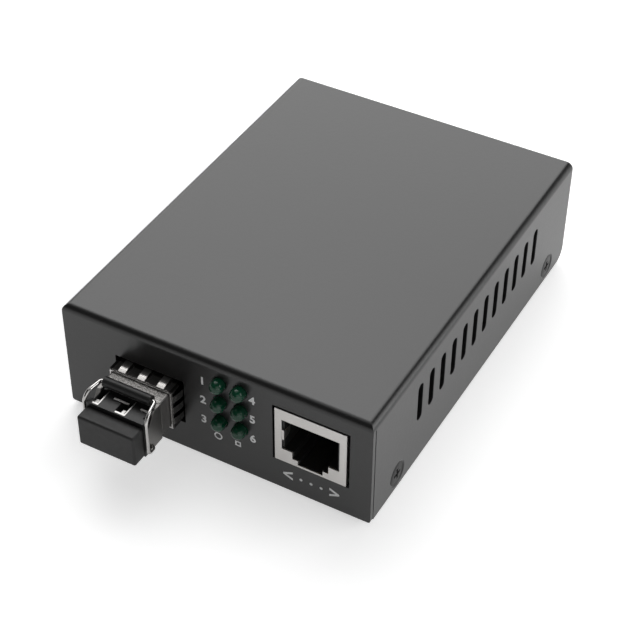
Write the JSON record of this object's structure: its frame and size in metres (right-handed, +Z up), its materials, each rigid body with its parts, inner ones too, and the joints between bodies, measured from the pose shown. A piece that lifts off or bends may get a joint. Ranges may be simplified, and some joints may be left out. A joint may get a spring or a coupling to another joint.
{
  "type": "fibre media converter",
  "caption": "Small steel-cased network converter with a copper port, status lamps, a DC inlet and a pluggable optical module with a wire bail and dust plug.",
  "frame": {"origin": "on the table, under the middle of the whole product, module and plug included", "axes": "+X to the right across the front panel, +Y to the rear panel, +Z up"},
  "size_m": [0.0706, 0.1108, 0.0275],
  "materials": {
    "cover_paint": "satin black powder coat",
    "tray_paint": "satin black powder coat",
    "screw_black": "black",
    "foot_rubber": "matte",
    "brass": "turned",
    "screw_steel": "zinc plated",
    "board_green": "solder mask",
    "shield_steel": "tinned",
    "black_plastic": "moulded",
    "gold_contact": "gold plated",
    "lamp_green": "clear dome",
    "tinned_wire": "tinned",
    "cage_steel": "plated",
    "collar_steel": "plated",
    "module_zinc": "cast",
    "shell_steel": "speckled",
    "nose_plastic": "moulded",
    "clip_steel": "stamped",
    "barrel_steel": "turned",
    "bail_chrome": "bright wire",
    "sleeve_plastic": "sleeve",
    "plug_rubber": "matte",
    "chip_black": "moulded",
    "can_steel": "can"
  },
  "bodies": {
    "chassis": {"top_cover": "cover_paint", "base_tray": "tray_paint", "cover_screws": "screw_black", "rubber_foot_front_left": "foot_rubber", "rubber_foot_front_right": "foot_rubber", "rubber_foot_rear_left": "foot_rubber", "rubber_foot_rear_right": "foot_rubber", "board_standoffs": "brass", "board_screws": "screw_steel", "main_board": "board_green", "port_shield": "shield_steel", "port_insert": "black_plastic", "port_contacts": "gold_contact", "status_lamp_left_1": "lamp_green", "status_lamp_left_2": "lamp_green", "status_lamp_left_3": "lamp_green", "status_lamp_right_1": "lamp_green", "status_lamp_right_2": "lamp_green", "status_lamp_right_3": "lamp_green", "lamp_holder_left": "black_plastic", "lamp_holder_right": "black_plastic", "lamp_leads_left": "tinned_wire", "lamp_leads_right": "tinned_wire", "module_cage": "cage_steel", "cage_floor": "cage_steel", "cage_spring_collar": "collar_steel", "host_connector": "black_plastic", "host_contacts": "gold_contact", "power_inlet": "black_plastic", "inlet_pin": "clip_steel", "inlet_spring": "clip_steel", "port_chip": "chip_black", "fibre_chip": "chip_black", "line_transformer": "chip_black", "crystal": "can_steel", "power_inductor": "chip_black", "voltage_regulator": "chip_black", "input_capacitor_1": "can_steel", "input_capacitor_2": "can_steel"},
    "optical_module": {"module_tray": "module_zinc", "module_shell": "shell_steel", "module_nose": "nose_plastic", "nose_clips": "clip_steel", "receive_barrel": "barrel_steel", "transmit_barrel": "barrel_steel", "module_card": "board_green"},
    "bail": {"bail_wire": "bail_chrome", "bail_sleeve": "sleeve_plastic"},
    "release": {"release_slide": "clip_steel"},
    "plug": {"dust_plug": "plug_rubber"}
  },
  "joints": [
    {"name": "module_slide", "type": "slide", "parent": "chassis", "child": "optical_module", "axis": [0, -1, 0], "range_m": [0, 0.045], "deforming": ["cage_floor"]},
    {"name": "bail_swing", "type": "hinge", "parent": "optical_module", "child": "bail", "pos_m": [-0.01485, -0.04965, 0.00975], "axis": [1, 0, 0], "range_deg": [0, 125]},
    {"name": "release_travel", "type": "slide", "parent": "optical_module", "child": "release", "axis": [0, 1, 0], "range_m": [0, 0.0016]},
    {"name": "plug_pull", "type": "slide", "parent": "optical_module", "child": "plug", "axis": [0, -1, 0], "range_m": [0, 0.012]}
  ],
  "couplings": [
    {"joint": "release_travel", "follows": "bail_swing", "m_per_rad": 0.00073265}
  ]
}
